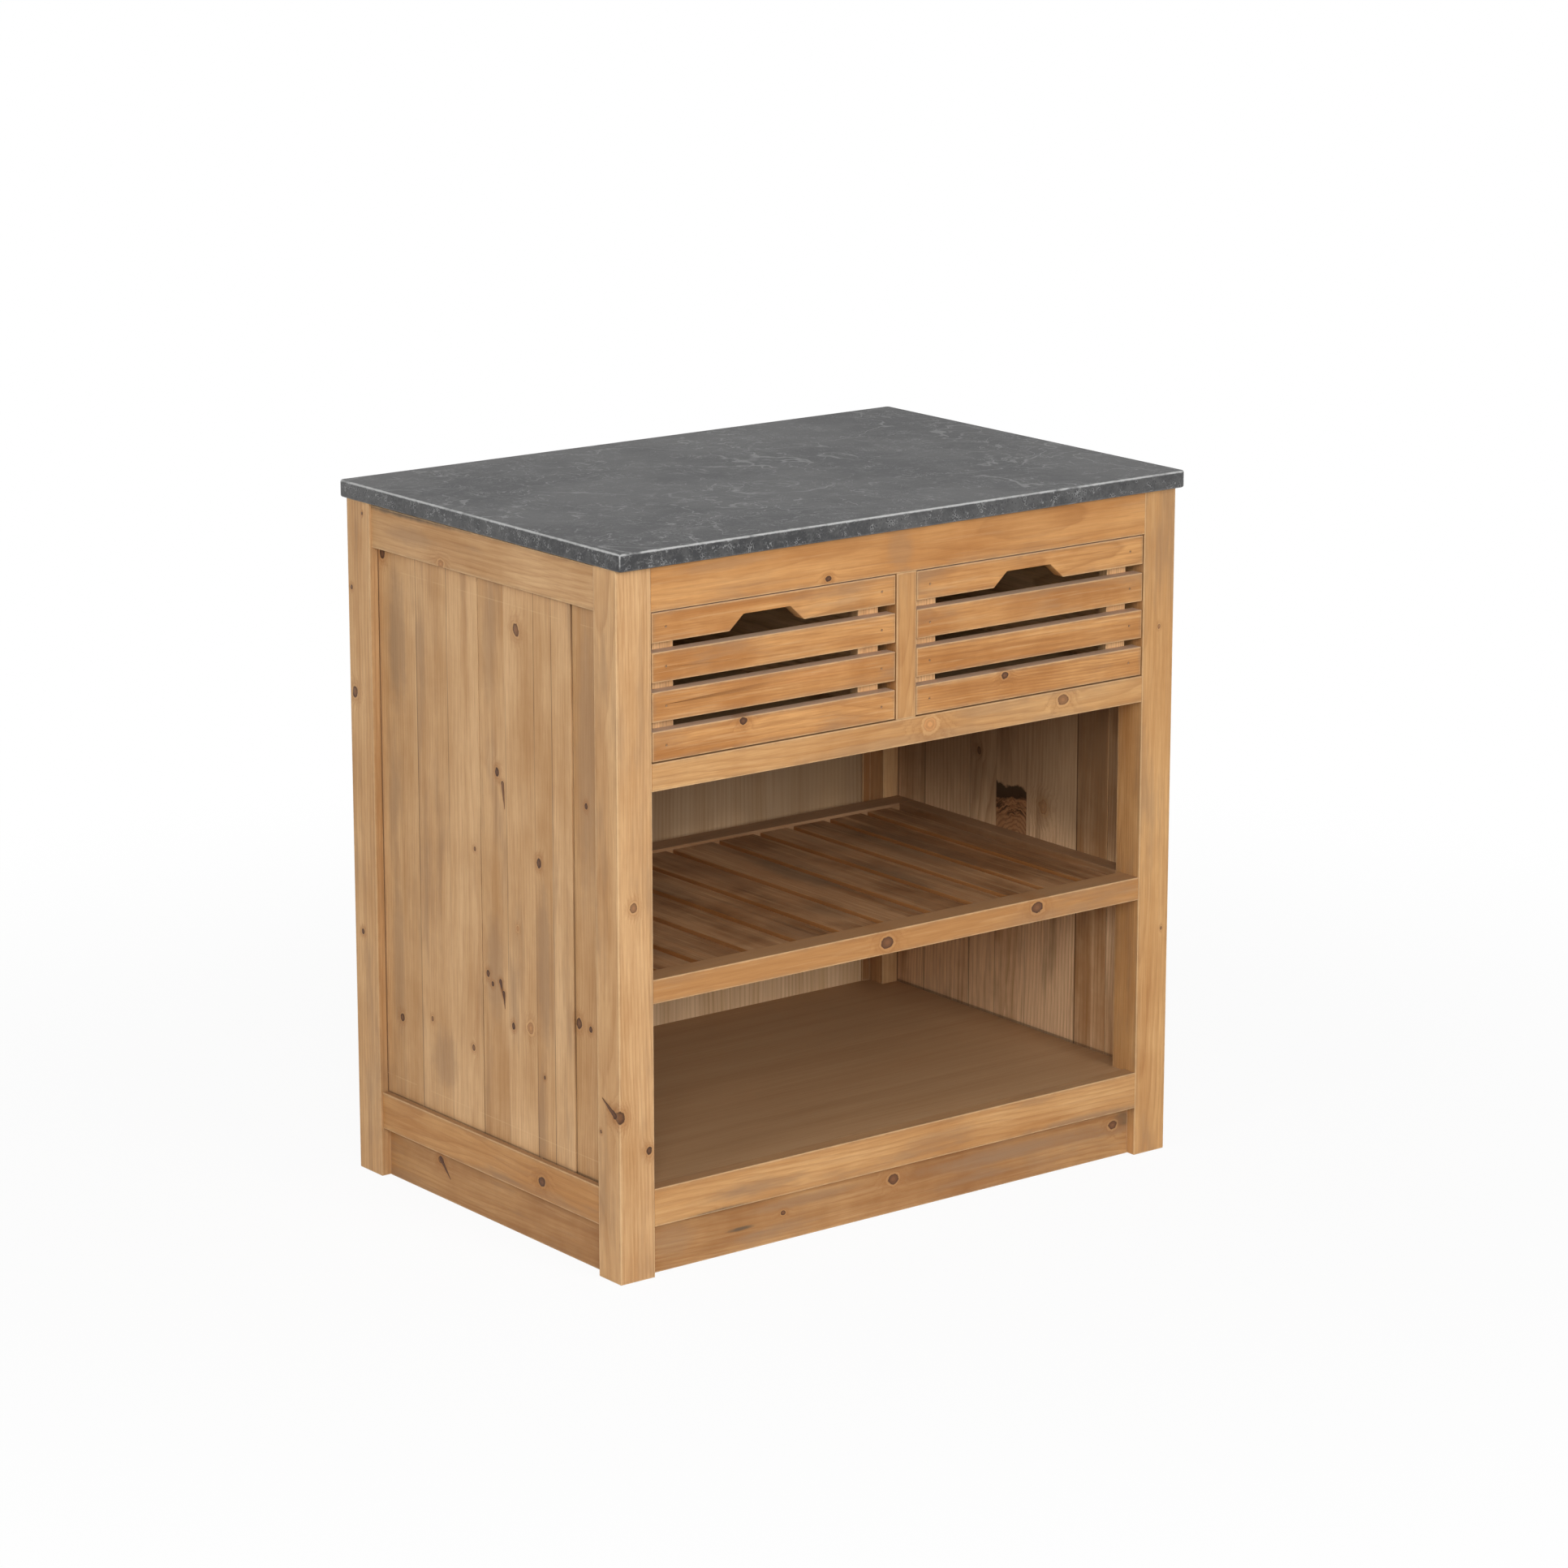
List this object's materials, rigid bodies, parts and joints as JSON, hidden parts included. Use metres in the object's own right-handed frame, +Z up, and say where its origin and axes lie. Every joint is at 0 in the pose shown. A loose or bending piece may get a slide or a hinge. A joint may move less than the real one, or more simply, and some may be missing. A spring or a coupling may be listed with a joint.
{
  "type": "kitchen base cabinet",
  "caption": "Free-standing pine kitchen base cabinet with a stone worktop, slatted drawers that slide out, a slatted shelf and an open lower bay above a plinth.",
  "frame": {"origin": "on the floor, under the centre of the worktop's bounding rectangle", "axes": "+X to the right along the front, +Y from the front to the back, +Z up; the drawers face -Y"},
  "size_m": [0.88, 0.6, 0.9],
  "materials": {
    "worktop_stone": "satin",
    "leg_pine": "matte",
    "rail_pine": "matte",
    "board_pine": "matte",
    "plinth_pine": "matte",
    "deck_veneer": "matte",
    "panel_veneer": "matte",
    "shelf_pine": "matte",
    "slat_pine": "matte",
    "drawer_pine": "matte",
    "plain_pine": "matte",
    "nail_steel": "satin"
  },
  "bodies": {
    "carcass": {"back_bottom_rail": "rail_pine", "back_drawer_rail": "rail_pine", "back_left_batten": "plain_pine", "back_left_leg": "leg_pine", "back_panel": "panel_veneer", "back_right_batten": "plain_pine", "back_right_leg": "leg_pine", "back_top_rail": "rail_pine", "centre_kicker": "plain_pine", "centre_runner": "plain_pine", "deck": "deck_veneer", "deck_front_bearer": "plain_pine", "drawer_divider": "rail_pine", "drawer_rail": "rail_pine", "front_bottom_rail": "rail_pine", "front_left_leg": "leg_pine", "front_plinth": "plinth_pine", "front_right_leg": "leg_pine", "front_top_rail": "rail_pine", "left_bottom_rail": "rail_pine", "left_kicker": "plain_pine", "left_plinth": "plinth_pine", "left_runner": "plain_pine", "left_side_boards": "board_pine", "left_top_rail": "rail_pine", "right_bottom_rail": "rail_pine", "right_kicker": "plain_pine", "right_plinth": "plinth_pine", "right_runner": "plain_pine", "right_side_boards": "board_pine", "right_top_rail": "rail_pine", "shelf_back_rail": "shelf_pine", "shelf_front_rail": "shelf_pine", "shelf_left_rail": "shelf_pine", "shelf_nails": "nail_steel", "shelf_right_rail": "shelf_pine", "shelf_slats": "shelf_pine", "worktop": "worktop_stone"},
    "left_drawer": {"left_drawer_back": "drawer_pine", "left_drawer_bottom": "panel_veneer", "left_drawer_front_slat_1": "slat_pine", "left_drawer_front_slat_2": "slat_pine", "left_drawer_front_slat_3": "slat_pine", "left_drawer_left_batten": "drawer_pine", "left_drawer_left_side": "drawer_pine", "left_drawer_nails": "nail_steel", "left_drawer_right_batten": "drawer_pine", "left_drawer_right_side": "drawer_pine", "left_drawer_top_slat": "slat_pine"},
    "right_drawer": {"right_drawer_back": "drawer_pine", "right_drawer_bottom": "panel_veneer", "right_drawer_front_slat_1": "slat_pine", "right_drawer_front_slat_2": "slat_pine", "right_drawer_front_slat_3": "slat_pine", "right_drawer_left_batten": "drawer_pine", "right_drawer_left_side": "drawer_pine", "right_drawer_nails": "nail_steel", "right_drawer_right_batten": "drawer_pine", "right_drawer_right_side": "drawer_pine", "right_drawer_top_slat": "slat_pine"}
  },
  "joints": [
    {"name": "left_drawer_slide", "type": "slide", "parent": "carcass", "child": "left_drawer", "axis": [0, -1, 0], "range_m": [0, 0.38]},
    {"name": "right_drawer_slide", "type": "slide", "parent": "carcass", "child": "right_drawer", "axis": [0, -1, 0], "range_m": [0, 0.38]}
  ]
}
